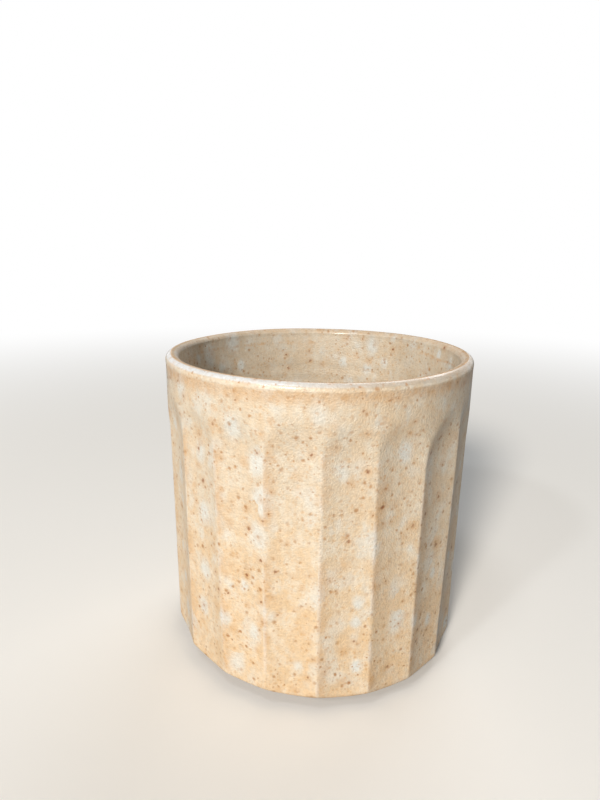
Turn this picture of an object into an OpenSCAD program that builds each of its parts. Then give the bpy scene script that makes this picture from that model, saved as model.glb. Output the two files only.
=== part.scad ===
// Fluted stoneware cup without a handle.
// Thrown and turned clay with upright flutes cut round the outside, glazed inside and out.
// The foot and the underside stay bare. The cup stands on z = 0 with its axis on z.
// One arris, the ridge between two flutes, faces the -y side.

/* [Overall size] */
// Height from the shelf to the crest of the lip
cup_h = 82; // [72:0.5:105]
// Diameter across the lip, over the glaze
rim_d = 82; // [76:0.5:96]
// Lean of the outside wall from upright, in degrees
wall_lean = 0.38; // [0.1:0.02:2]

/* [Lip, wall and floor] */
// Thickness of the rounded lip, over the glaze
lip_t = 3.4; // [3:0.1:5]
// How far the round of the lip stands proud of the wall on each side
lip_proud = 0.08; // [0.04:0.02:0.3]
// Drop from the crest of the lip to where the wall has its full thickness
shoulder_drop = 11; // [8:0.5:20]
// How much thicker the clay is there than at the lip
wall_gain = 0.9; // [0.6:0.1:2]
// Lean of the inside wall below that, in degrees
inner_lean = 1.5; // [0.6:0.1:2.5]
// Clay thickness of the floor above the recess of the foot
floor_t = 5; // [3.5:0.25:8]
// Radius of the inside corner between the wall and the floor
floor_r = 12; // [6:0.5:20]

/* [Glaze] */
// Thickness of the glaze
glaze_t = 0.4; // [0.25:0.05:0.6]
// Height of the bare strip between the underside and the edge of the glaze
bare_h = 0.6; // [0.3:0.1:1]

/* [Flutes] */
// Number of flutes round the cup
flute_count = 20; // [16:1:28]
// Radius of the round-nosed cutter that a flute follows, at the surface of the glaze
flute_r = 33; // [24:1:48]
// Drop from the crest of the lip to the top of each flute
flute_drop = 8.8; // [7:0.2:20]
// How much lower every other flute starts, as flutes cut by hand do
flute_stagger = 0.6; // [0.3:0.1:1.5]
// Depth of the arrises below the plain band under the lip
arris_depth = 0.22; // [0.1:0.02:0.4]

/* [Foot] */
// Height of the underside above the shelf
foot_h = 3; // [2:0.1:4.5]
// Diameter of the foot ring where it meets the underside
foot_d = 66; // [56:0.5:70]
// Width of the foot ring where it meets the underside
foot_w = 4.6; // [3.6:0.1:7]
// Draft of both sides of the foot ring, in degrees
foot_draft = 9; // [2:1:14]
// Chamfer on the two edges of the foot ring
foot_edge = 0.5; // [0.2:0.1:0.8]
// Height of the turned bevel between the wall and the underside
bevel_h = 1.4; // [0.8:0.1:2.2]
// Height of the recess inside the foot ring
recess_h = 2.6; // [1.6:0.1:4]

/* [Hidden] */
$fn = 144;

clay_color = [0.72, 0.55, 0.40];
glaze_color = [0.87, 0.80, 0.67];
liner_color = [0.83, 0.75, 0.62];

// Overrun of every cut
over = 1;
// Half the width of a flute's cutting block, as a share of half the width of the flute
block_share = 1.4;
// Slope of the bevel from upright, in degrees
bevel_lean = 45;

// The lip is a round of clay about lip_c, and a coat of thickness g makes it larger by g.
lip_a = lip_t / 2 - glaze_t;
lip_c = [(rim_d - lip_t) / 2, cup_h - lip_t / 2];

// Radius of the outside wall at height z, under a coat of thickness g
function wall_r(z, g) = lip_c.x + lip_a - lip_proud + g - (lip_c.y - z) * tan(wall_lean);

// The floor's corner is an arc about floor_c, which the inside wall leaves at its height.
floor_z = recess_h + floor_t;
inner_top_r = lip_c.x - lip_a + lip_proud;
shoulder_c = [inner_top_r - wall_gain, cup_h - shoulder_drop];
inner_low_r = shoulder_c.x - (shoulder_c.y - floor_z - floor_r) * tan(inner_lean);
floor_c = [inner_low_r - floor_r, floor_z + floor_r];

// The flutes follow a round-nosed cutter whose axis leans with the wall.
// Its place comes from the arrises, where two neighbouring flutes meet.
flute_z = cup_h - flute_drop;
band_r = wall_r(flute_z, glaze_t);
arris_r = band_r - arris_depth;
half_pitch = 180 / flute_count;
half_flute = arris_r * sin(half_pitch);
axis_r = arris_r * cos(half_pitch) + sqrt(flute_r * flute_r - half_flute * half_flute);
flute_depth = band_r + flute_r - axis_r;
nose_drop = sqrt(flute_r * flute_r - (flute_r - flute_depth) * (flute_r - flute_depth));

// Half section of the cup with a coat of thickness g on all of it but the foot and underside
module section(g) {
    bevel_z = foot_h + bevel_h + (glaze_t - g) * tan(bevel_lean / 2);
    bevel_r = wall_r(bevel_z, g);
    outer_r = foot_d / 2;
    inner_r = foot_d / 2 - foot_w;
    draft = tan(foot_draft);
    difference() {
        polygon([
            [0, recess_h], [inner_r, recess_h], [inner_r + (recess_h - foot_edge) * draft, foot_edge],
            [inner_r + recess_h * draft + foot_edge, 0], [outer_r - foot_h * draft - foot_edge, 0],
            [outer_r - (foot_h - foot_edge) * draft, foot_edge], [outer_r, foot_h],
            [bevel_r - (bevel_z - foot_h) * tan(bevel_lean), foot_h], [bevel_r, bevel_z],
            [wall_r(lip_c.y, g), lip_c.y], [0, lip_c.y]
        ]);
        cavity(g);
    }
    translate(lip_c) circle(lip_a + g);
}

// Half section of the space inside, left free by a coat of thickness g
module cavity(g) {
    polygon([
        [0, floor_z + g], [floor_c.x, floor_z + g], floor_c, [inner_low_r - g, floor_c.y],
        [shoulder_c.x - g, shoulder_c.y], [inner_top_r - g, lip_c.y],
        [inner_top_r - g, cup_h + over], [0, cup_h + over]
    ]);
    translate(floor_c) circle(floor_r - g);
}

// One flute's cutter, smaller by a coat of thickness g, kept to a block round the wall
module flute_cutter(g) {
    translate([axis_r, 0, flute_z]) rotate([0, wall_lean, 0]) translate([0, 0, -nose_drop])
        intersection() {
            rotate_extrude() {
                intersection() {
                    circle(flute_r - g);
                    square(flute_r - g);
                }
                translate([0, -flute_z]) square([flute_r - g, flute_z]);
            }
            translate([-flute_r - over, -half_flute * block_share, -flute_z])
                cube([flute_depth + 2 * over, 2 * half_flute * block_share, 2 * flute_z]);
        }
}

// Every other flute's cutter, from the one numbered first, smaller by a coat of thickness g
module flute_cutters(first, g) {
    for (i = [first : 2 : flute_count - 1])
        rotate([0, 0, (2 * i + 1) * half_pitch - 90]) flute_cutter(g);
}

// The cup's half section in 2D, revolved and cut by the flutes in two passes
module fluted(g) {
    difference() {
        difference() {
            rotate_extrude() children();
            flute_cutters(0, g);
        }
        translate([0, 0, -flute_stagger]) flute_cutters(1, g);
    }
}

// Fired clay: the wall, the floor and the turned foot ring in one piece
module stoneware_body() {
    color(clay_color)
        fluted(-glaze_t) section(0);
}

// The coat on the outside, from the crest of the lip down to the bare strip above the foot
module outer_glaze() {
    color(glaze_color)
        difference() {
            fluted(0) intersection() {
                section(glaze_t);
                union() {
                    translate([inner_top_r, foot_h + bare_h])
                        square([rim_d, lip_c.y - foot_h - bare_h]);
                    translate([lip_c.x, foot_h + bare_h]) square([rim_d, cup_h]);
                }
            }
            stoneware_body();
        }
}

// The coat poured inside, from the floor up to the crest of the lip
module liner_glaze() {
    color(liner_color)
        rotate_extrude() intersection() {
            difference() {
                section(glaze_t);
                section(0);
            }
            translate([0, foot_h + bevel_h]) square([lip_c.x, cup_h]);
        }
}

stoneware_body();
outer_glaze();
liner_glaze();
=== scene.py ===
"""The look of a fluted stoneware cup without a handle.

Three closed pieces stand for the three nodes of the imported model: the clay, the coat of glaze on
the outside and the coat poured inside. One rule makes all three, so that they fit each other: a
half section is carried round the axis, and the flutes are cut into its outer side.
Sizes are written in millimetres and degrees, and become metres where a mesh or a lamp is made.
"""

import logging
import math
import random
from dataclasses import dataclass, field
from enum import Enum
from typing import Iterable, Optional, Union

import bmesh
import bpy
from mathutils import Matrix, Vector


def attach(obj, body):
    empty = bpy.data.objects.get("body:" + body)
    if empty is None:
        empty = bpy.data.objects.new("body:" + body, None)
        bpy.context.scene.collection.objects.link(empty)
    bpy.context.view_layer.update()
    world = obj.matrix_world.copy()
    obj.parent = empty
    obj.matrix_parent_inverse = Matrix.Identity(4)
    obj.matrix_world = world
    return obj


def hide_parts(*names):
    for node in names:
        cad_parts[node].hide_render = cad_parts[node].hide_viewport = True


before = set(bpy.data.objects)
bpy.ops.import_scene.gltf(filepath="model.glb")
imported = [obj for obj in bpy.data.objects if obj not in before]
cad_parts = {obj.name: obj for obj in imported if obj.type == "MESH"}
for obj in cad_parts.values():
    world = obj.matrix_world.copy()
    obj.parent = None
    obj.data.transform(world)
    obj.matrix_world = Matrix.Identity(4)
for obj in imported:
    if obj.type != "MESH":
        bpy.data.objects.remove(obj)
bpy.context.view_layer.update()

log = logging.getLogger("cup")

MM = 0.001
Colour = tuple[float, float, float]
Number = Union[float, int, "Sock"]
WHITE: Colour = (1.0, 1.0, 1.0)


# ---------------------------------------------------------------------------------------------
# Node trees written as Python expressions
# ---------------------------------------------------------------------------------------------


class Sock:
    """One output socket, which takes part in Python arithmetic.

    Numbers go through Math nodes, and colours and vectors through Vector Math nodes.
    """

    def __init__(self, graph: "Graph", raw: bpy.types.NodeSocket) -> None:
        """Keeps the tree's writer and the socket.

        Args:
            graph: The writer of the tree that the socket is in.
            raw: The socket itself.
        """
        self.graph = graph
        self.raw = raw

    @property
    def wide(self) -> bool:
        """Whether the socket carries a colour or a vector."""
        return self.raw.type in {"RGBA", "VECTOR"}

    def _pair(self, operation: str, first: Number, second: Number) -> "Sock":
        """Adds the node of one operation on two values.

        Args:
            operation: The name of the operation.
            first: Its first value.
            second: Its second value.

        Returns:
            The result.
        """
        wide = any(isinstance(v, Sock) and v.wide for v in (first, second))
        kind = "ShaderNodeVectorMath" if wide else "ShaderNodeMath"
        return self.graph.node(kind, {"operation": operation}, {0: first, 1: second})

    def __add__(self, other: Number) -> "Sock":
        """self + other."""
        return self._pair("ADD", self, other)

    def __radd__(self, other: Number) -> "Sock":
        """other + self."""
        return self._pair("ADD", other, self)

    def __sub__(self, other: Number) -> "Sock":
        """self - other."""
        return self._pair("SUBTRACT", self, other)

    def __rsub__(self, other: Number) -> "Sock":
        """other - self."""
        return self._pair("SUBTRACT", other, self)

    def __mul__(self, other: Number) -> "Sock":
        """Multiplies two values, and scales a vector where the other value is a number.

        Args:
            other: The second factor.

        Returns:
            self * other.
        """
        narrow = not (isinstance(other, Sock) and other.wide)
        if self.wide and narrow:
            settings = {"operation": "SCALE"}
            return self.graph.node("ShaderNodeVectorMath", settings, {0: self, "Scale": other})
        return self._pair("MULTIPLY", self, other)

    def __rmul__(self, other: Number) -> "Sock":
        """other * self."""
        return self * other

    def __truediv__(self, other: Number) -> "Sock":
        """self / other."""
        return self._pair("DIVIDE", self, other)

    def do(self, operation: str, *others: Number) -> "Sock":
        """Adds a Math node with any other operation.

        Args:
            operation: The name of the operation.
            others: The values after this one.

        Returns:
            The result.
        """
        values = {0: self, **{i + 1: v for i, v in enumerate(others)}}
        return self.graph.node("ShaderNodeMath", {"operation": operation}, values)

    def between(self, low: Number, high: Number) -> "Sock":
        """Rises smoothly from 0 at low to 1 at high, and stays there.

        Args:
            low: The value that gives 0.
            high: The value that gives 1.

        Returns:
            A share from 0 to 1.
        """
        settings = {"interpolation_type": "SMOOTHSTEP", "clamp": True}
        values = {"Value": self, "From Min": low, "From Max": high}
        return self.graph.node("ShaderNodeMapRange", settings, values)


class Graph:
    """Writes nodes into one tree."""

    def __init__(self, tree: bpy.types.NodeTree) -> None:
        """Keeps the tree.

        Args:
            tree: A shader tree or a geometry tree.
        """
        self.tree = tree

    @staticmethod
    def find(sockets: Iterable[bpy.types.NodeSocket], key: Union[int, str]) -> bpy.types.NodeSocket:
        """Finds a socket by its place, its identifier or its name.

        Args:
            sockets: The inputs or outputs of a node.
            key: The place, identifier or name.

        Returns:
            The socket.
        """
        if isinstance(key, int):
            return list(sockets)[key]
        exact = [s for s in sockets if s.identifier == key]
        named = [s for s in sockets if s.name == key and s.enabled]
        return (exact or named)[0]

    def node(
        self,
        kind: str,
        settings: Optional[dict] = None,
        values: Optional[dict] = None,
        out: Union[int, str] = 0,
    ) -> Sock:
        """Adds one node.

        Args:
            kind: The node's type.
            settings: Its settings, set before its inputs.
            values: Numbers or links for its inputs, by place, identifier or name.
            out: Which output comes back.

        Returns:
            The chosen output, or the first input's wrapper where the node has no output.
        """
        made = self.tree.nodes.new(kind)
        for name, setting in (settings or {}).items():
            setattr(made, name, setting)
        for key, value in (values or {}).items():
            socket = self.find(made.inputs, key)
            if isinstance(value, Sock):
                self.tree.links.new(value.raw, socket)
            elif socket.type == "RGBA":
                socket.default_value = (*value[:3], 1.0)
            elif socket.type == "VECTOR" and isinstance(value, (int, float)):
                socket.default_value = (value, value, value)
            else:
                socket.default_value = value
        return Sock(self, self.find(made.outputs or made.inputs, out))

    def also(self, known: Sock, out: Union[int, str]) -> Sock:
        """Another output of the node that a known output belongs to."""
        return Sock(self, self.find(known.raw.node.outputs, out))

    def split(self, vector: Sock) -> tuple[Sock, Sock, Sock]:
        """The three parts of a vector."""
        x = self.node("ShaderNodeSeparateXYZ", {}, {0: vector})
        return x, self.also(x, 1), self.also(x, 2)

    def join(self, x: Number, y: Number, z: Number) -> Sock:
        """A vector from its three parts."""
        return self.node("ShaderNodeCombineXYZ", {}, {0: x, 1: y, 2: z})

    def length(self, vector: Sock) -> Sock:
        """The length of a vector."""
        return self.node("ShaderNodeVectorMath", {"operation": "LENGTH"}, {0: vector}, out="Value")

    def upright(self, place: Sock, share: float) -> Sock:
        """Flattens coordinates to a share of their height, so that what lies in them is taller."""
        values = {"Vector": place, "Scale": (1.0, 1.0, share)}
        return self.node("ShaderNodeMapping", {"vector_type": "POINT"}, values)

    def mix(self, share: Number, first: Union[Colour, Sock], second: Union[Colour, Sock]) -> Sock:
        """Mixes two colours.

        Args:
            share: 0 gives the first colour and 1 the second.
            first: The first colour.
            second: The second colour.

        Returns:
            The mixed colour.
        """
        settings = {"data_type": "RGBA", "clamp_factor": True}
        values = {"Factor_Float": share, "A_Color": first, "B_Color": second}
        return self.node("ShaderNodeMix", settings, values, out="Result_Color")

    def noise(self, place: Sock, size: float, detail: float = 2.0, rough: float = 0.5) -> Sock:
        """Cloudy variation with features of about one size.

        Args:
            place: The coordinates.
            size: The size of a feature, in their unit.
            detail: How many finer layers there are.
            rough: How strong the finer layers are.

        Returns:
            Values round 0.5.
        """
        values = {"Vector": place, "Scale": 1.0 / size, "Detail": detail, "Roughness": rough}
        return self.node("ShaderNodeTexNoise", {"noise_dimensions": "3D"}, values)

    def warp(self, place: Sock, size: float, reach: float) -> Sock:
        """Moves coordinates about by cloudy variation.

        Args:
            place: The coordinates.
            size: The size of a feature of the variation.
            reach: How far it moves them at most.

        Returns:
            The moved coordinates.
        """
        values = {"Vector": place, "Scale": 1.0 / size, "Detail": 1.0}
        cloud = self.node("ShaderNodeTexNoise", {"noise_dimensions": "3D"}, values, out=1)
        return place + (cloud - (0.5, 0.5, 0.5)) * (2.0 * reach)


# ---------------------------------------------------------------------------------------------
# Sizes
# ---------------------------------------------------------------------------------------------


def share_of(value: float, low: float, high: float) -> float:
    """How far a value is from low, which gives 0, to high, which gives 1."""
    return min(max((value - low) / (high - low), 0.0), 1.0)


def rows_from(first: float, pitch: float, count: int) -> list[float]:
    """Evenly spaced heights."""
    return [first + pitch * i for i in range(count)]


def soft_min(first: float, second: float, width: float) -> float:
    """The lesser of two numbers, rounded where they cross.

    Args:
        first: One number.
        second: The other.
        width: How far apart they are where the rounding starts.

    Returns:
        The rounded least value.
    """
    near = max(width - abs(first - second), 0.0) / width
    return min(first, second) - near ** 3 * width / 6.0


@dataclass(frozen=True)
class CupSizes:
    """Sizes of the whole cup over the glaze, in millimetres and degrees.

    They are those of the solids, but for wall_lean, which follows the photograph more closely.
    bevel_soft and shoulder_soft are the widths of the two rounded bends in the wall. clay_above is
    where the clay's rows begin over the edge of the glaze, clay_flute_rows their pitch and number
    up the flutes, and clay_start_rows and clay_band_rows are as in OuterCoat.
    """

    height: float = 82.0
    coat: float = 0.4
    wall_lean: float = 0.28
    lip_r: float = 39.3
    lip_round: float = 1.7
    lip_proud: float = 0.08
    shoulder_drop: float = 11.0
    shoulder_r: float = 36.78
    shoulder_soft: float = 0.25
    corner_r: float = 23.83
    corner_z: float = 19.6
    corner_round: float = 11.6
    bevel_top: float = 4.4
    bevel_soft: float = 1.8
    underside: float = 3.0
    glaze_line: float = 3.6
    foot_r: float = 33.0
    foot_width: float = 4.6
    foot_draft: float = 9.0
    recess: float = 2.6
    clay_above: float = 1.8
    clay_flute_rows: tuple[float, int] = (3.0, 19)
    clay_start_rows: tuple[float, float, int] = (60.5, 1.2, 13)
    clay_band_rows: tuple[float, ...] = (76.6, 78.6)

    @property
    def lip_z(self) -> float:
        """Height of the middle of the lip's round."""
        return self.height - self.lip_round

    def wall(self, z: float, depth: float = 0.0) -> float:
        """Radius of the outside before the flutes are cut.

        Args:
            z: The height.
            depth: How far below the finished surface.

        Returns:
            The radius.
        """
        top = self.lip_r + self.lip_round - self.lip_proud - depth
        return top - (self.lip_z - z) * math.tan(math.radians(self.wall_lean))

    def side(self, z: float, depth: float = 0.0) -> float:
        """Radius of the wall with its turned bevel at the bottom.

        Args:
            z: The height.
            depth: How far below the finished surface.

        Returns:
            The radius.
        """
        bevel = self.wall(self.bevel_top) + z - self.bevel_top - depth * math.sqrt(2.0)
        return soft_min(bevel, self.wall(z, depth), self.bevel_soft)

    def inner(self, z: float, depth: float = 0.0) -> float:
        """Radius of the inside wall between the lip and the corner of the floor.

        Args:
            z: The height.
            depth: How far below the finished surface, into the clay.

        Returns:
            The radius.
        """
        top_r = self.lip_r - self.lip_round + self.lip_proud
        shoulder_z = self.height - self.shoulder_drop
        low_r = self.corner_r + self.corner_round
        upper = (top_r - self.shoulder_r) / (self.lip_z - shoulder_z)
        lower = (self.shoulder_r - low_r) / (shoulder_z - self.corner_z)
        rise = z - shoulder_z
        return self.shoulder_r + depth - soft_min(-rise * upper, -rise * lower, self.shoulder_soft)

    def clay_heights(self) -> list[float]:
        """Heights of the rows up the outer side of the clay, where the outer coat lies on it.

        Returns:
            The heights, from above the edge of the glaze to below the lip.
        """
        flutes = rows_from(self.glaze_line + self.clay_above, *self.clay_flute_rows)
        starts = rows_from(*self.clay_start_rows)
        return [*flutes, *starts, *self.clay_band_rows]


@dataclass(frozen=True)
class FluteMark:
    """How one flute, and the arris where it starts, differ from an even row, as hand work does.

    sway_top and sway_foot are degrees that the arris is off its even place near its two ends, late
    is how much lower the flute starts, in millimetres, and slant how fast that grows, a degree.
    """

    sway_top: float
    sway_foot: float
    late: float
    slant: float


@dataclass(frozen=True)
class FluteRow:
    """The row of flutes: their number, the cutter that they follow and the marks of the hand.

    arris_depth is less than in the solids, as the photograph shows it. front holds the marks of
    the flutes in view, numbered anticlockwise from the front. Those of the others are drawn at
    random, within sway and drift for the arris, late and slant.
    """

    count: int = 20
    radius: float = 33.0
    top: float = 73.2
    arris_depth: float = 0.12
    softness: float = 0.42
    unevenness: float = 0.16
    seed: int = 11
    sway: float = 1.2
    drift: float = 0.5
    late: float = 1.6
    slant: float = 0.15
    front: dict[int, FluteMark] = field(
        default_factory=lambda: {
            -4: FluteMark(-0.8, -2.6, 1.4, -0.05),
            -3: FluteMark(-0.3, -0.5, 0.8, -0.05),
            -2: FluteMark(-0.6, 1.0, 0.7, 0.05),
            -1: FluteMark(-0.1, -0.1, 0.3, -0.05),
            0: FluteMark(0.1, 0.1, 0.9, 0.03),
            1: FluteMark(-0.6, 0.3, 0.6, 0.1),
            2: FluteMark(-0.1, -0.3, 1.5, -0.22),
            3: FluteMark(2.0, -1.2, 2.2, 0.4),
            4: FluteMark(0.5, 0.3, 0.4, 0.1),
        }
    )

    def marks(self) -> list[FluteMark]:
        """The marks of all flutes, anticlockwise from the front: the front ones as measured.

        Returns:
            One mark a flute.
        """
        chance = random.Random(self.seed)
        marks = []
        for _ in range(self.count):
            sway = chance.uniform(-self.sway, self.sway)
            drift = chance.uniform(-self.drift, self.drift)
            late = chance.uniform(0.0, self.late)
            slant = chance.uniform(-self.slant, self.slant)
            marks.append(FluteMark(sway + drift, sway - drift, late, slant))
        for place, mark in self.front.items():
            marks[place % self.count] = mark
        return marks


# ---------------------------------------------------------------------------------------------
# Half sections
# ---------------------------------------------------------------------------------------------


@dataclass
class Row:
    """One point of a half section, and what the rule does to it on its way round.

    skin is how far it lies below the finished surface, fluted whether the flutes reach it, hem how
    far it follows the uneven edge of the glaze, tilt how far it follows the crooked cut at the
    bottom, lip how far it follows the waves of the lip, ripple the height of the throwing rings,
    and brim its place on the round of the lip: 0 outside, 1 on the crest and 2 inside.
    """

    r: float
    z: float
    skin: float = 0.0
    fluted: float = 0.0
    hem: float = 0.0
    tilt: float = 0.0
    lip: float = 0.0
    ripple: float = 0.0
    brim: float = 0.0


class HalfSection:
    """A list of points from one end of a half section to the other.

    The waves of the lip and the crooked cut at the bottom grow between the two heights of WAVES
    and CROOKED, and the throwing rings between the two depths of RINGS below the lip's middle.
    The lip's round goes on INNER_TURN degrees past the crest, and the wall's rows begin
    INNER_START below its middle. The corner of the floor has CORNER_STEPS steps at least. On the
    floor the rings are FLOOR_RIPPLE times as high, and they fade within CALM_MIDDLE of the axis.
    """

    MARKS = ("skin", "fluted", "hem", "tilt", "lip", "ripple", "brim")
    WAVES_FROM, WAVES_FULL = 66.0, 80.0
    CROOKED_TO, CROOKED_FULL = 13.0, 4.4
    INNER_TURN = 75.0
    INNER_START = 0.4
    RINGS_FROM, RINGS_FULL = 5.0, 13.0
    CORNER_STEPS = 8
    FLOOR_RIPPLE = 1.6
    CALM_MIDDLE = 4.0

    def __init__(self, sizes: CupSizes) -> None:
        """Starts an empty section.

        Args:
            sizes: The sizes of the cup.
        """
        self.sizes = sizes
        self.rows: list[Row] = []

    def add(self, r: float, z: float, **marks: float) -> None:
        """Adds a point.

        Args:
            r: Its radius.
            z: Its height.
            marks: What the rule does to it.
        """
        lip = share_of(z, self.WAVES_FROM, self.WAVES_FULL)
        crooked = marks.get("fluted", 0.0) * share_of(z, self.CROOKED_TO, self.CROOKED_FULL)
        tilt = marks.pop("tilt", crooked)
        self.rows.append(Row(r, z, lip=lip, tilt=tilt, **marks))

    def close(self) -> None:
        """Ends the section where it started."""
        self.rows.append(self.rows[0])

    def outside(self, heights: Iterable[float], depth: float, steps: int) -> None:
        """Adds the outer side, from the lowest of the heights up to the crest of the lip.

        Args:
            heights: The heights of the rows on the wall.
            depth: How far below the finished surface.
            steps: How many steps the round of the lip has.
        """
        s = self.sizes
        for z in heights:
            self.add(s.side(z, depth), z, skin=depth, fluted=1.0)
        for i in range(steps + 1):
            turn = 90.0 * i / steps
            a, round_r = math.radians(turn), s.lip_round - depth
            r, z = s.lip_r + round_r * math.cos(a), s.lip_z + round_r * math.sin(a)
            self.add(r, z, skin=depth, fluted=1.0, brim=turn / 90.0)

    def inside(self, depth: float, steps: int, pitch: float, ripple: float) -> None:
        """Adds the inner side, from the crest of the lip down to the middle of the floor.

        Args:
            depth: How far below the finished surface.
            steps: How many steps the round of the lip has.
            pitch: The distance between rows on the wall and the floor.
            ripple: The height of the throwing rings.
        """
        s = self.sizes
        round_r = s.lip_round - depth
        for i in range(steps + 1):
            turn = 90.0 + self.INNER_TURN * i / steps
            a = math.radians(turn)
            r, z = s.lip_r + round_r * math.cos(a), s.lip_z + round_r * math.sin(a)
            self.add(r, z, brim=turn / 90.0)
        start = s.lip_z - self.INNER_START
        wall = math.ceil((start - s.corner_z) / pitch)
        for i in range(wall):
            z = start - (start - s.corner_z) * i / wall
            grown = share_of(z, s.lip_z - self.RINGS_FROM, s.lip_z - self.RINGS_FULL)
            self.add(s.inner(z, depth), z, ripple=ripple * grown, brim=2.0)
        corner = s.corner_round + depth
        turns = max(math.ceil(corner * math.pi / 2 / pitch), self.CORNER_STEPS)
        for i in range(turns):
            a = math.pi / 2 * i / turns
            r = s.corner_r + corner * math.cos(a)
            self.add(r, s.corner_z - corner * math.sin(a), ripple=ripple, brim=2.0)
        floor = math.ceil(s.corner_r / pitch)
        for i in range(floor + 1):
            r = s.corner_r * (1.0 - i / floor)
            rings = self.FLOOR_RIPPLE * ripple * min(r / self.CALM_MIDDLE, 1.0)
            self.add(r, s.corner_z - corner, ripple=rings, brim=2.0)

    def mesh(self, name: str) -> bpy.types.Mesh:
        """Makes a chain of edges whose points carry their marks.

        Args:
            name: The mesh's name.

        Returns:
            The chain, in millimetres, with x as the radius.
        """
        mesh = bpy.data.meshes.new(name)
        points = [(row.r, 0.0, row.z) for row in self.rows]
        mesh.from_pydata(points, [(i, i + 1) for i in range(len(points) - 1)], [])
        for mark in self.MARKS:
            layer = mesh.attributes.new(mark, "FLOAT", "POINT")
            layer.data.foreach_set("value", [getattr(row, mark) for row in self.rows])
        runs, faces, last = [0.0], [], len(self.rows) - 1
        for before, after in zip(self.rows, self.rows[1:]):
            runs.append(runs[-1] + math.hypot(after.r - before.r, after.z - before.z))
        for i in range(last + 1):
            before, after = self.rows[max(i - 1, 0)], self.rows[min(i + 1, last)]
            along = Vector((after.r - before.r, 0.0, after.z - before.z))
            faces.extend(Vector((-along.z, 0.0, along.x)).normalized())
        mesh.attributes.new("run", "FLOAT", "POINT").data.foreach_set("value", runs)
        mesh.attributes.new("face", "FLOAT_VECTOR", "POINT").data.foreach_set("vector", faces)
        return mesh


# ---------------------------------------------------------------------------------------------
# The rule that carries a half section round
# ---------------------------------------------------------------------------------------------


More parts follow.
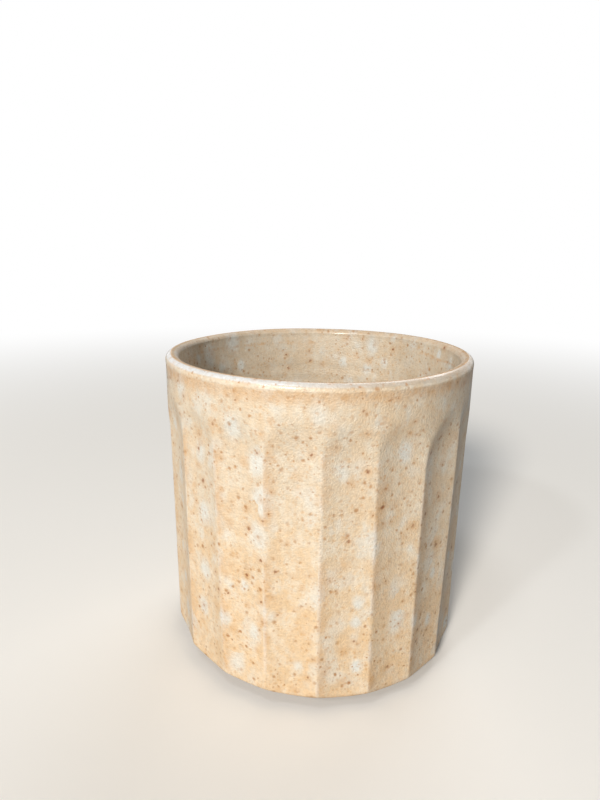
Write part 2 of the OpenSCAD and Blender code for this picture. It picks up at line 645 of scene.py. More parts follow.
class FlutedTurning:
    """A geometry tree that carries a half section round the axis and cuts the flutes into it.

    An arris has its two sways at the heights SWAY_LOW and SWAY_HIGH. CROWDING is how strongly the
    columns draw together at the arrises, and EDGE_SOFTENING how much softer than an arris the
    flutes' outer ends are. The uneven places (WANDER) and the glaze's edge (HEM) are read on a
    circle of radius AROUND, which each seed shifts by SEED_STEP. CROOKED is how far the bottom is
    cut out of level. A wave is how often it goes round, where it starts and how high it is.
    Points within MERGE_WITHIN metres become one, and an edge bent by SHARP_FROM degrees stays
    sharp. For the glaze's painted highlight an arris is CREST_WIDE across, for its warm painted
    shade a flute's shaded part lies between the two places of LEE across it, and both are there
    where the flute is FLUTE_DEEP deep.
    """

    INPUTS = (
        ("Section", "NodeSocketGeometry"),
        ("Rows", "NodeSocketInt"),
        ("Columns a Flute", "NodeSocketInt"),
        ("Flutes", "NodeSocketInt"),
        ("Flute Radius", "NodeSocketFloat"),
        ("Flute Top", "NodeSocketFloat"),
        ("Band Radius", "NodeSocketFloat"),
        ("Arris Radius", "NodeSocketFloat"),
        ("Wall Lean", "NodeSocketFloat"),
        ("Softness", "NodeSocketFloat"),
        ("Unevenness", "NodeSocketFloat"),
        ("Ring Pitch", "NodeSocketFloat"),
        ("Seed", "NodeSocketInt"),
        ("Marks", "NodeSocketObject"),
        ("Finish", "NodeSocketMaterial"),
    )
    SWAY_LOW, SWAY_HIGH = 6.0, 62.0
    CROWDING = 0.55
    EDGE_SOFTENING = 2.2
    WANDER_SIZE, WANDER_STRETCH = 17.0, 0.55
    HEM_SIZE, HEM_REACH, HEM_DROOP = 9.0, 0.8, 0.42
    AROUND = 40.0
    SEED_STEP = 7.3
    CROOKED = -1.2
    LIP_WAVES = ((2.0, 0.7, 0.09), (3.0, 2.1, 0.06), (5.0, 4.0, 0.04))
    LIP_DRIFT = ((2.0, -1.9, 0.1), (3.0, 0.0, 0.05))
    MERGE_WITHIN = 2e-7
    SHARP_FROM = 50.0
    CREST_WIDE, FLUTE_DEEP = 0.5, 0.3
    LEE = (-0.35, -0.92)

    def __init__(self, sizes: CupSizes, flutes: FluteRow) -> None:
        """Builds the tree and the object that holds the marks of the flutes.

        Args:
            sizes: The sizes of the cup.
            flutes: The row of flutes.
        """
        self.sizes = sizes
        self.flutes = flutes
        self.tree = bpy.data.node_groups.new("fluted_turning", "GeometryNodeTree")
        self.graph = Graph(self.tree)
        new = self.tree.interface.new_socket
        for name, kind in self.INPUTS:
            new(name=name, in_out="INPUT", socket_type=kind)
        new(name="Piece", in_out="OUTPUT", socket_type="NodeSocketGeometry")
        self.ends = self.tree.nodes.new("NodeGroupInput")
        self.marks = self._marks()
        self._write()

    def _marks(self) -> bpy.types.Object:
        """Makes the object whose points carry the marks of the flutes, one point a flute.

        Returns:
            The object.
        """
        marks = self.flutes.marks()
        mesh = bpy.data.meshes.new("flute_marks")
        mesh.from_pydata([(float(i), 0.0, 0.0) for i in range(len(marks))], [], [])
        for name in ("sway_top", "sway_foot", "late", "slant"):
            layer = mesh.attributes.new(name, "FLOAT", "POINT")
            layer.data.foreach_set("value", [getattr(mark, name) for mark in marks])
        made = bpy.data.objects.new("flute_marks", mesh)
        bpy.context.scene.collection.objects.link(made)
        return made

    def _input(self, name: str) -> Sock:
        """The group input of that name."""
        return Sock(self.graph, Graph.find(self.ends.outputs, name))

    def _named(self, name: str, kind: str = "FLOAT") -> Sock:
        """The named attribute of the geometry in hand."""
        settings = {"data_type": kind}
        return self.graph.node("GeometryNodeInputNamedAttribute", settings, {"Name": name})

    def _sample(self, geometry: Sock, value: Sock, index: Sock, kind: str = "FLOAT") -> Sock:
        """Reads a value at one point of a geometry.

        Args:
            geometry: The geometry.
            value: The value on its points.
            index: Which point.
            kind: The value's data type.

        Returns:
            The value there.
        """
        settings = {"data_type": kind, "domain": "POINT"}
        values = {"Geometry": geometry, "Value": value, "Index": index}
        return self.graph.node("GeometryNodeSampleIndex", settings, values)

    @staticmethod
    def _waves(azimuth: Sock, waves: Iterable[tuple[float, float, float]]) -> Sock:
        """The sum of waves round the lip."""
        return sum((azimuth * often + start).do("SINE") * high for often, start, high in waves)

    def _leant(self, z: Sock) -> Sock:
        """How much further out than at the flutes' top the leaning wall is."""
        lean = self._input("Wall Lean").do("RADIANS").do("TANGENT")
        return (z - self._input("Flute Top")) * lean

    def _mark(self, flute: Sock, name: str) -> Sock:
        """One mark of a flute, whose number may run past either end of the row."""
        whole = flute - self._input("Flutes") * (flute / self._input("Flutes")).do("FLOOR")
        return self._sample(self.held, self._named(name), whole)

    def _arris(self, flute: Sock, z: Sock) -> Sock:
        """Azimuth of the arris where a flute starts, in radians.

        Args:
            flute: The flute's number.
            z: The height.

        Returns:
            The azimuth.
        """
        share = (z - self.SWAY_LOW) / (self.SWAY_HIGH - self.SWAY_LOW)
        share = share.do("MAXIMUM", 0.0).do("MINIMUM", 1.0)
        low, high = self._mark(flute, "sway_foot"), self._mark(flute, "sway_top")
        even = flute * 360.0 / self._input("Flutes") - 90.0
        return (even + low + (high - low) * share).do("RADIANS")

    def _cut(
        self, flute: Sock, azimuth: Optional[Sock], z: Sock, crowd: Optional[Sock] = None
    ) -> tuple[Sock, Sock]:
        """Radius at which one flute's cutter leaves the clay.

        Args:
            flute: The flute's number.
            azimuth: Where to measure, or None to find it from crowd.
            z: The height.
            crowd: The place across the flute from -1 to 1, where azimuth is None.

        Returns:
            The radius and the azimuth.
        """
        left, right = self._arris(flute, z), self._arris(flute + 1.0, z)
        middle, half = (left + right) / 2.0, (right - left) / 2.0
        if azimuth is None:
            azimuth = middle + half * crowd
        off = azimuth - middle
        radius, arris = self._input("Flute Radius"), self._input("Arris Radius")
        edge = arris * half.do("SINE")
        axis = arris * half.do("COSINE") + (radius * radius - edge * edge).do("SQRT")
        short = axis - self._input("Band Radius")
        nose = (radius * radius - short * short).do("SQRT")
        late = self._mark(flute, "late") + self._mark(flute, "slant") * off.do("DEGREES")
        over = (z - (self._input("Flute Top") - late - nose)).do("MAXIMUM", 0.0)
        axis = axis + self._leant(z)
        aside = axis * off.do("SINE")
        chord = (radius * radius - over * over - aside * aside).do("MAXIMUM", 0.0).do("SQRT")
        return axis * off.do("COSINE") - chord, azimuth

    def _write(self) -> None:
        """Writes the whole tree."""
        g = self.graph
        section, rows = self._input("Section"), self._input("Rows")
        columns = self._input("Columns a Flute")
        values = {"Object": self._input("Marks")}
        self.held = g.node("GeometryNodeObjectInfo", {}, values, out="Geometry")
        wide = self._input("Flutes") * columns + 1.0
        grid = g.node("GeometryNodeMeshGrid", {}, {"Vertices X": wide, "Vertices Y": rows})

        index = g.node("GeometryNodeInputIndex")
        column = ((index + 0.5) / rows).do("FLOOR")
        row = index - column * rows
        flute = ((column + 0.5) / columns).do("FLOOR")
        across = (column - flute * columns) / columns * 2.0 - 1.0
        crowd = (across * (math.pi / 2)).do("SINE") * self.CROWDING + across * (1.0 - self.CROWDING)

        place = g.node("GeometryNodeInputPosition")
        r, _, z = g.split(self._sample(section, place, row, "FLOAT_VECTOR"))
        marks = {n: self._sample(section, self._named(n), row) for n in (*HalfSection.MARKS, "run")}
        face = self._sample(section, self._named("face", "FLOAT_VECTOR"), row, "FLOAT_VECTOR")
        out_r, _, out_z = g.split(face)

        own, azimuth = self._cut(flute, None, z, crowd)
        beside = flute + (across.do("LESS_THAN", 0.0) * -2.0 + 1.0)
        other, _ = self._cut(beside, azimuth, z)
        soft = self._input("Softness")
        cut = own.do("SMOOTH_MIN", other, soft) - marks["skin"]
        cos, sin = azimuth.do("COSINE"), azimuth.do("SINE")

        seed = self._input("Seed") * self.SEED_STEP
        spread = z * self.WANDER_STRETCH + seed
        around = g.join(cos * self.AROUND, sin * self.AROUND, spread)
        wander = (g.noise(around, self.WANDER_SIZE, 2.0) - 0.5) * self._input("Unevenness") * 2.0
        hem_at = g.join(cos * self.AROUND, sin * self.AROUND, seed)
        hollow = self._input("Arris Radius") + self._leant(z) - marks["skin"] - cut
        edge = (g.noise(hem_at, self.HEM_SIZE, 3.0) - 0.5) * self.HEM_REACH
        droop = (edge - hollow * self.HEM_DROOP) * marks["hem"]
        both = (r + droop).do("SMOOTH_MIN", cut, soft * self.EDGE_SOFTENING) + wander
        shaped = r + (both - r) * marks["fluted"]

        wave = self._waves(azimuth, self.LIP_WAVES) * marks["lip"]
        drift = self._waves(azimuth, self.LIP_DRIFT) * marks["lip"]
        turns = marks["run"] / self._input("Ring Pitch") * (2 * math.pi)
        rings = (turns + azimuth).do("SINE") * marks["ripple"]
        radial = shaped + drift + rings * out_r
        crooked = cos * marks["tilt"] * self.CROOKED
        high = z + droop + wave + crooked + rings * out_z
        spot = g.join(radial * cos, radial * sin, high) * MM

        below = (r - cut).between(0.0, self.FLUTE_DEEP) * marks["fluted"]
        # Where the glaze gets its painted highlight: along each arris.
        crest = (own - other).do("ABSOLUTE").between(self.CREST_WIDE, 0.0) * below
        # Where the glaze gets its warm painted shade: the shaded part of each flute.
        lee = across.between(*self.LEE) * below
        self._finish(grid, spot, {"crest": crest, "lee": lee, "brim": marks["brim"]})

    def _finish(self, grid: Sock, spot: Sock, stored: dict[str, Sock]) -> None:
        """Moves the grid's points, closes it, sets its shading and material, and ends the tree.

        Args:
            grid: The flat grid of rows and columns.
            spot: Where each of its points goes.
            stored: The values that stay on the piece for its material, by name.
        """
        g = self.graph
        settings = {"data_type": "FLOAT", "domain": "POINT"}
        for name, value in stored.items():
            values = {"Geometry": grid, "Name": name, "Value": value}
            grid = g.node("GeometryNodeStoreNamedAttribute", settings, values)
        moved = g.node("GeometryNodeSetPosition", {}, {"Geometry": grid, "Position": spot})
        values = {"Geometry": moved, "Distance": self.MERGE_WITHIN}
        merged = g.node("GeometryNodeMergeByDistance", {}, values)
        angle = g.node("GeometryNodeInputMeshEdgeAngle")
        corner = angle.do("GREATER_THAN", math.radians(self.SHARP_FROM))
        values = {0: merged, "Selection": corner, "Shade Smooth": False}
        creased = g.node("GeometryNodeSetShadeSmooth", {"domain": "EDGE"}, values)
        whole = g.node("GeometryNodeRealizeInstances", {}, {"Geometry": creased})
        values = {"Geometry": whole, "Material": self._input("Finish")}
        dressed = g.node("GeometryNodeSetMaterial", {}, values)
        end = self.tree.nodes.new("NodeGroupOutput")
        self.tree.links.new(dressed.raw, end.inputs[0])

    def turn(
        self,
        name: str,
        section: HalfSection,
        columns: int,
        ring_pitch: float,
        finish: bpy.types.Material,
    ) -> bpy.types.Object:
        """Carries a half section round and keeps the result as a plain mesh.

        Args:
            name: The piece's name.
            section: The half section.
            columns: How many columns each flute has.
            ring_pitch: The distance between throwing rings.
            finish: The piece's material.

        Returns:
            The piece, with its place in its mesh.
        """
        s, f = self.sizes, self.flutes
        carrier = bpy.data.objects.new(name + "_section", section.mesh(name + "_section"))
        bpy.context.scene.collection.objects.link(carrier)
        modifier = carrier.modifiers.new("fluted_turning", "NODES")
        modifier.node_group = self.tree
        chosen = {
            "Rows": len(section.rows),
            "Columns a Flute": columns,
            "Flutes": f.count,
            "Flute Radius": f.radius,
            "Flute Top": f.top,
            "Band Radius": s.wall(f.top),
            "Arris Radius": s.wall(f.top) - f.arris_depth,
            "Wall Lean": s.wall_lean,
            "Softness": f.softness,
            "Unevenness": f.unevenness,
            "Ring Pitch": ring_pitch,
            "Seed": f.seed,
            "Marks": self.marks,
            "Finish": finish,
        }
        for item in self.tree.interface.items_tree:
            if item.item_type == "SOCKET" and item.in_out == "INPUT" and item.name in chosen:
                modifier[item.identifier] = chosen[item.name]
        graph = bpy.context.evaluated_depsgraph_get()
        mesh = bpy.data.meshes.new_from_object(
            carrier.evaluated_get(graph), preserve_all_data_layers=True, depsgraph=graph
        )
        carrier.modifiers.remove(modifier)
        bpy.data.objects.remove(carrier)
        mesh.name = name
        self._face_out(mesh)
        piece = bpy.data.objects.new(name, mesh)
        bpy.context.scene.collection.objects.link(piece)
        return piece

    @staticmethod
    def _face_out(mesh: bpy.types.Mesh) -> None:
        """Turns the faces of a closed mesh outwards, and says if it has an open edge.

        Args:
            mesh: The mesh.
        """
        bm = bmesh.new()
        bm.from_mesh(mesh)
        open_edges = sum(not edge.is_manifold for edge in bm.edges)
        volume = bm.calc_volume(signed=True)
        if volume < 0.0:
            bmesh.ops.reverse_faces(bm, faces=bm.faces)
            bm.to_mesh(mesh)
        facts = (mesh.name, len(bm.faces), open_edges, abs(volume) / MM ** 3)
        log.info("%s: %d faces, %d open edges, %.0f mm3", *facts)
        bm.free()

    def clear(self) -> None:
        """Takes away what only the rule needed."""
        bpy.data.objects.remove(self.marks)


# ---------------------------------------------------------------------------------------------
# Finishes
# ---------------------------------------------------------------------------------------------


class Coat(Enum):
    """Which coat of glaze a finish is for."""

    OUTSIDE = "outside"
    INSIDE = "inside"


class Finish:
    """What all finishes of the cup share."""

    @staticmethod
    def start(name: str) -> tuple[bpy.types.Material, Graph, Sock]:
        """Makes a material with an empty tree.

        Args:
            name: The material's name.

        Returns:
            The material, its tree's writer and the place on the piece in millimetres.
        """
        material = bpy.data.materials.new(name)
        material.use_nodes = True
        material.node_tree.nodes.clear()
        graph = Graph(material.node_tree)
        place = graph.node("ShaderNodeTexCoord", {}, {}, out="Object") * (1.0 / MM)
        return material, graph, place

    @staticmethod
    def end(graph: Graph, shader: Sock) -> None:
        """Sends a shader to the material's output.

        Args:
            graph: The tree's writer.
            shader: The shader.
        """
        graph.node("ShaderNodeOutputMaterial", {}, {"Surface": shader})


@dataclass(frozen=True)
class Specks:
    """How one kind of speck lies in the glaze.

    cell is the mean distance between them in space, small and large their radii, all in
    millimetres, kept the share of places that hold one, and soft how far its edge fades, as a
    share of its radius.
    """

    cell: float
    small: float
    large: float
    kept: float
    soft: float


@dataclass(frozen=True)
class Ground:
    """The coordinates and the cloudy values that the steps of one glaze share.

    place is the place on the piece in millimetres, side its x, height its z, and runs the same
    place drawn out upwards, as glaze runs. broad, cloud, fleck and grain vary from coarse to fine,
    and brim is the place on the round of the lip: 0 outside, 1 on the crest and 2 inside.
    """

    place: Sock
    side: Sock
    height: Sock
    runs: Sock
    broad: Sock
    cloud: Sock
    fleck: Sock
    grain: Sock
    brim: Sock


@dataclass(frozen=True)
class SpeckledGlaze(Finish):
    """Satin oatmeal glaze with pale blotches, warm mottling, fine specks and iron spots.

    The shares say how strongly a colour is laid over what is below it, and a pair of heights goes
    from where a colour is absent to where it is full. The sizes are those of the clouds, flecks
    and swellings, in millimetres. tone is how bright the glaze is at its darkest, and how much its
    grain and its flecks brighten it, and inside_painted_shade the same for its broad clouds inside,
    where it darkens the whole inside as painted shade, a little of it the liner's own darker glaze.
    """

    coat: Coat
    cream: Colour = (0.83, 0.725, 0.58)
    biscuit: Colour = (0.75, 0.585, 0.395)
    peach: Colour = (0.76, 0.53, 0.3)
    oat: Colour = (0.62, 0.475, 0.33)
    ginger: Colour = (0.58, 0.31, 0.11)
    pale: Colour = (0.745, 0.77, 0.75)
    painted_highlight_white: Colour = (0.77, 0.82, 0.875)
    brown: Colour = (0.42, 0.2, 0.068)
    iron: Colour = (0.25, 0.08, 0.018)
    painted_shade_grey: Colour = (0.61, 0.575, 0.5)
    roughness: float = 0.5
    shine: float = 0.42
    coat_roughness: float = 0.17
    refraction: float = 1.5
    relief_strength: float = 0.8
    relief_depth: float = 0.0002
    run_stretch: float = 0.68
    fibre_stretch: float = 0.3
    broad_size: float = 15.0
    cloud_size: float = 2.3
    fleck_size: float = 1.1
    grain_size: float = 0.6
    fibre_size: float = 0.45
    blush_size: float = 5.5
    veil_size: float = 4.2
    peel_size: float = 0.42
    swell_size: float = 2.6
    tone: tuple[float, float, float] = (0.61, 0.46, 0.32)
    inside_painted_shade: tuple[float, float] = (0.58, 0.46)
    blush_share: float = 0.52
    painted_warm_light_share: float = 0.22
    painted_warm_light_heights: tuple[float, float] = (48.0, 4.0)
    painted_shade_heights: tuple[float, float] = (16.0, 74.0)
    painted_shade_inside: float = 1.25
    dull_share: float = 0.42
    pale_inside: float = 1.3
    arris_highlight_share: float = 0.4
    flute_shade_share: float = 0.42
    under_lip_share: float = 0.44
    hem_share: float = 0.25
    dust_share: float = 0.54
    halo_share: float = 0.4
    grit_shift: tuple[float, float, float] = (7.0, 3.0, 5.0)
    spot_shift: tuple[float, float, float] = (1.0, 9.0, 4.0)
    dust: Specks = Specks(1.0, 0.22, 0.5, 0.8, 0.9)
    grit: Specks = Specks(1.65, 0.24, 0.58, 0.85, 0.8)
    spots: Specks = Specks(3.8, 0.26, 0.62, 0.75, 0.75)
    halo: Specks = Specks(3.8, 0.9, 1.7, 0.75, 0.95)
    drops: Specks = Specks(6.6, 1.4, 3.0, 0.72, 0.68)

    @staticmethod
    def scatter(graph: Graph, place: Sock, specks: Specks) -> Sock:
        """Scatters round specks in space, which the surface cuts.

        Args:
            graph: The tree's writer.
            place: The coordinates.
            specks: How the specks lie.

        Returns:
            1 in a speck and 0 outside.
        """
        values = {"Vector": place, "Scale": 1.0 / specks.cell}
        distance = graph.node("ShaderNodeTexVoronoi", {"feature": "F1"}, values)
        chance = graph.node("ShaderNodeSeparateColor", {}, {0: graph.also(distance, 1)})
        empty = 1.0 - specks.kept
        share = (chance - empty).do("MAXIMUM", 0.0) / specks.kept
        radius = share * share * (specks.large - specks.small) + specks.small
        mask = (distance * specks.cell / radius).between(1.0 + specks.soft / 2, 1.0 - specks.soft)
        return mask * chance.do("GREATER_THAN", empty)

    @staticmethod
    def mark(graph: Graph, name: str) -> Sock:
        """A value that the turning left on the piece."""
        settings = {"attribute_type": "GEOMETRY", "attribute_name": name}
        return graph.node("ShaderNodeAttribute", settings, out="Fac")

    def _ground(self, g: Graph, place: Sock) -> Ground:
        """Adds the coordinates and the values that the steps share.

        Args:
            g: The tree's writer.
            place: The place on the piece.

        Returns:
            What the steps share.
        """
        side, _, height = g.split(place)
        runs = g.upright(place, self.run_stretch)
        return Ground(
            place=place,
            side=side,
            height=height,
            runs=runs,
            broad=g.noise(place, self.broad_size, 2.0),
            cloud=g.noise(g.warp(runs, 4.0, 1.0), self.cloud_size, 4.0, 0.66),
            fleck=g.noise(g.warp(place, 1.5, 0.4), self.fleck_size, 3.0, 0.6),
            grain=g.noise(place, self.grain_size, 3.0, 0.7),
            brim=self.mark(g, "brim"),
        )

    def _mottled(self, g: Graph, at: Ground) -> Sock:
        """Mixes cream and biscuit, lays peach and oat in patches, and paints shade high up and
        light low down.

        Args:
            g: The tree's writer.
            at: What the steps share.

        Returns:
            The colour.
        """
        fibre = g.noise(g.upright(at.place, self.fibre_stretch), self.fibre_size, 2.0, 0.6)
        warm = at.cloud * 0.5 + at.fleck * 0.25 + at.grain * 0.15 + fibre * 0.1
        colour = g.mix(warm.between(0.41, 0.59), self.cream, self.biscuit)
        blush = g.noise(g.warp(at.runs, 6.0, 2.0), self.blush_size, 3.0, 0.55).between(0.43, 0.6)
        colour = g.mix(blush * self.blush_share, colour, self.peach)
        outside = self.coat is Coat.OUTSIDE
        # Painted shade: a cool grey over the outside, growing towards the top, and over all the
        # inside.
        painted_shade = at.height.between(*self.painted_shade_heights) if outside else self.painted_shade_inside
        colour = g.mix(painted_shade * (0.2 + at.broad * 0.4), colour, self.painted_shade_grey)
        # Painted warm light: peach growing towards the bottom.
        low = at.height.between(*self.painted_warm_light_heights)
        colour = g.mix(low * self.painted_warm_light_share, colour, self.peach)
        dull = g.noise(g.warp(at.place, 2.0, 0.6), 1.0, 3.0, 0.65).between(0.5, 0.66)
        return g.mix(dull * at.broad.between(0.3, 0.6) * self.dull_share, colour, self.oat)

    def _blotches(self, g: Graph, at: Ground) -> tuple[Sock, Sock]:
        """Finds where the pale blotches lie: soft drops, and a faint veil between them.

        Args:
            g: The tree's writer.
            at: What the steps share.

        Returns:
            The share of the pale colour, and the veil as it varies.
        """
        veil = g.noise(g.warp(at.runs, 3.0, 0.8), self.veil_size, 1.0, 0.4)
        veil = veil + g.noise(at.place, 13.0, 1.0) * 0.4
        drops = self.scatter(g, g.warp(g.warp(at.runs, 2.6, 0.7), 0.9, 0.22), self.drops)
        pale = (veil.between(0.76, 0.95) * 0.4).do("MAXIMUM", drops * (0.45 + at.broad * 0.75))
        strength = 1.0 if self.coat is Coat.OUTSIDE else self.pale_inside
        return pale * (0.72 + at.grain * 0.36) * strength, veil

    def _outer_edges(self, g: Graph, at: Ground, colour: Sock) -> tuple[Sock, Sock]:
        """Paints light and shade on arrises, lip and flutes; colours the under-lip line and the
        lower edge.

        Args:
            g: The tree's writer.
            at: What the steps share.
            colour: The colour so far.

        Returns:
            The colour, and the share of the thin line where the coats meet on the lip.
        """
        faded = g.noise(at.place, 8.0, 1.0).between(0.36, 0.62)
        # Painted highlight: a pale bluish line along the arrises, fading in and out.
        colour = g.mix(self.mark(g, "crest") * faded * self.arris_highlight_share, colour, self.painted_highlight_white)
        # Painted light on the lip: strongest on its left side, which is lit.
        painted_lit_side = at.side.between(26.0, -14.0) * 0.72 + faded * 0.15
        # Oat on the lip: its thinner glaze, and painted shade that grows away from the lit left
        # side.
        colour = g.mix(at.brim.between(0.12, 0.7) * (0.8 - painted_lit_side * 0.4), colour, self.oat)
        # Pale painted highlight on the lip's band, on its lit left side.
        band = at.brim.between(0.26, 0.46) * at.brim.between(0.95, 0.75)
        colour = g.mix(band * painted_lit_side * (0.75 + at.grain * 0.4), colour, self.painted_highlight_white)
        # Painted shade: the lip is darkened, less on its lit left side.
        colour = colour * (1.0 - at.brim.between(0.06, 0.4) * (0.25 - painted_lit_side * 0.15))
        under_lip = at.height.between(76.4, 79.0) * at.height.between(80.5, 79.8)
        # The ginger on each flute's shaded side, next to its arris, is a warm painted shade.
        lee = self.mark(g, "lee") * g.noise(at.place, 11.0, 1.0).between(0.38, 0.6)
        hem = at.height.between(4.4, 3.2)
        thin = under_lip * self.under_lip_share + lee * self.flute_shade_share + hem * self.hem_share
        colour = g.mix(thin * (0.1 + at.cloud * 1.5), colour, self.ginger)
        return colour, at.brim.between(0.8, 0.95)

    def _inner_edges(self, g: Graph, at: Ground, colour: Sock) -> tuple[Sock, Sock]:
        """Colours the lip's inner round, and a broken ring where the wall bends below it.

        Args:
            g: The tree's writer.
            at: What the steps share.
            colour: The colour so far.

        Returns:
            The colour, and the share of the thin line where the coats meet on the lip.
        """
        level = at.height + g.noise(at.place, 12.0, 1.0) * 2.4
        ring = level.between(78.0, 78.6) * level.between(79.4, 78.9)
        ring = ring * at.fleck.between(0.36, 0.62) * at.broad.between(0.42, 0.6) * 0.5
        thin = at.brim.between(1.9, 1.5) * at.brim.between(1.0, 1.3) * 0.2 + ring
        return g.mix(thin, colour, self.ginger), at.brim.between(1.3, 1.1)

    def _speckled(self, g: Graph, at: Ground, colour: Sock) -> tuple[Sock, Sock]:
        """Strews dust, grit and iron spots with their halos over the colour.

        Args:
            g: The tree's writer.
            at: What the steps share.
            colour: The colour so far.

        Returns:
            The colour, and how deep the larger specks lie.
        """
        rippled = g.warp(g.warp(at.place, 0.5, 0.2), 1.3, 0.3)
        sparser = 1.0 - at.height.between(20.0, 60.0) * 0.25
        crowd = g.noise(at.place, 7.0, 2.0).between(0.3, 0.62) * sparser
        dust = self.scatter(g, rippled, self.dust) * (0.3 + crowd * 0.7)
        grit = self.scatter(g, rippled + self.grit_shift, self.grit)
        spots = self.scatter(g, rippled + self.spot_shift, self.spots)
        halo = self.scatter(g, rippled + self.spot_shift, self.halo)
        least, by_grain, by_fleck = self.tone
        colour = colour * (least + at.grain * by_grain + at.fleck * by_fleck)
        colour = g.mix(dust * self.dust_share, colour, self.ginger)
        colour = g.mix(halo * self.halo_share, colour, self.ginger)
        colour = g.mix(grit * (0.28 + crowd * 0.66), colour, self.brown)
        colour = g.mix(spots * (0.35 + at.fleck), colour, self.iron)
        return colour, spots * 0.2 + grit * 0.1

    def material(self) -> bpy.types.Material:
        """Builds the glaze.

        Returns:
            The material.
        """
        material, g, place = self.start(f"speckled_glaze_{self.coat.value}")
        at = self._ground(g, place)
        pale, veil = self._blotches(g, at)
        colour = g.mix(pale, self._mottled(g, at), self.pale)
        shine = self.shine + pale * 0.2 + (at.grain - 0.5) * 0.5
        if self.coat is Coat.OUTSIDE:
            colour, line = self._outer_edges(g, at, colour)
            glassy = at.height.between(66.0, 77.0) * veil.between(0.66, 0.82) * 0.3
            gloss = (shine + at.brim.between(0.15, 0.5) * 0.15 + glassy) * (1.0 - line)
        else:
            colour, line = self._inner_edges(g, at, colour)
            gloss = shine * at.brim.between(1.5, 2.0)
        colour = g.mix(line * (at.cloud * 0.9 - 0.06), colour, self.ginger)
        colour, pits = self._speckled(g, at, colour)
        # Painted shade: the whole inside is darkened, a little of it the liner's own darker glaze.
        if self.coat is Coat.INSIDE:
            least, by_broad = self.inside_painted_shade
            colour = colour * (least + at.broad * by_broad)

        peel = g.noise(place, self.peel_size, 1.0, 0.5)
        swell = g.noise(place, self.swell_size, 2.0)
        relief = peel * 0.9 + swell * 0.5 + at.cloud * 0.2 - pits + pale * 0.15
        bump = {"Strength": self.relief_strength, "Distance": self.relief_depth, "Height": relief}
        values = {
            "Base Color": colour,
            "Roughness": self.roughness + (at.grain - 0.5) * 0.2 - pale * 0.08 + line * 0.3,
            "Normal": g.node("ShaderNodeBump", {}, bump),
            "IOR": self.refraction,
            "Specular IOR Level": 0.5,
            "Coat Weight": gloss,
            "Coat Roughness": self.coat_roughness,
            "Coat IOR": self.refraction,
        }
        self.end(g, g.node("ShaderNodeBsdfPrincipled", {}, values))
        return material


@dataclass(frozen=True)
class BareStoneware(Finish):
    """Bare fired clay with turning marks, sandy grain and small iron specks.

    turning_pitch and ridge_pitch are the distances between the fine and the coarse turning marks,
    and dot_cell is the mean distance between the specks, all in millimetres. dot_fade is where a
    speck's edge starts and ends as a share of dot_cell, and the other shares are as in the glaze.
    """

    clay: Colour = (0.43, 0.27, 0.16)
    toast: Colour = (0.3, 0.155, 0.075)
    sand: Colour = (0.56, 0.42, 0.29)
    speck: Colour = (0.085, 0.04, 0.02)
    roughness: float = 0.86
    relief_strength: float = 0.7
    relief_depth: float = 0.00012
    turning_pitch: float = 0.9
    ridge_pitch: float = 2.7
    dot_cell: float = 1.7
    dot_fade: tuple[float, float] = (0.16, 0.1)
    sand_share: float = 0.6
    turning_share: float = 0.16
    speck_share: float = 0.85

    @staticmethod
    def rings(radius: Sock, pitch: float) -> Sock:
        """Rings round the axis, from 0 to 1."""
        return (radius * (2 * math.pi / pitch)).do("SINE") * 0.5 + 0.5

    def material(self) -> bpy.types.Material:
        """Builds the clay.

        Returns:
            The material.
        """
        material, g, place = self.start("bare_stoneware")
        values = {0: place, 1: (1.0, 1.0, 0.0)}
        radius = g.length(g.node("ShaderNodeVectorMath", {"operation": "MULTIPLY"}, values))
        _, _, height = g.split(place)
        wander = g.noise(place, 7.0, 2.0)
        turned = self.rings(radius + wander * 1.6 - height * 0.8, self.turning_pitch)
        coarse = self.rings(radius + wander * 1.2, self.ridge_pitch)
        grain = g.noise(place, 0.5, 3.0, 0.65)
        cloud = g.noise(place, 6.0, 4.0, 0.6)

        colour = g.mix(cloud.between(0.35, 0.65), self.clay, self.toast)
        colour = g.mix(grain.between(0.56, 0.7) * self.sand_share, colour, self.sand)
        colour = g.mix(turned * self.turning_share, colour, self.toast)
        values = {"Vector": g.warp(place, 1.2, 0.2), "Scale": 1.0 / self.dot_cell}
        dots = g.node("ShaderNodeTexVoronoi", {"feature": "F1"}, values)
        colour = g.mix(dots.between(*self.dot_fade) * self.speck_share, colour, self.speck)

        relief = grain * 0.5 + turned * 0.45 + coarse * 0.6 + g.noise(place, 0.2, 1.0) * 0.2
        bump = {"Strength": self.relief_strength, "Distance": self.relief_depth, "Height": relief}
        values = {
            "Base Color": colour,
            "Roughness": self.roughness + (grain - 0.5) * 0.12,
            "Normal": g.node("ShaderNodeBump", {}, bump),
            "IOR": 1.45,
            "Specular IOR Level": 0.3,
        }
        self.end(g, g.node("ShaderNodeBsdfPrincipled", {}, values))
        return material


# ---------------------------------------------------------------------------------------------
# Sub-assemblies
# ---------------------------------------------------------------------------------------------


def settle(piece: bpy.types.Object, node: str) -> bpy.types.Object:
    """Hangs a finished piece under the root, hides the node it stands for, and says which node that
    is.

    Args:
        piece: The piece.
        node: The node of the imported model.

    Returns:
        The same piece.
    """
    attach(piece, "root")
    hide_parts(node)
    log.info("%s stands for %s", piece.name, node)
    return piece


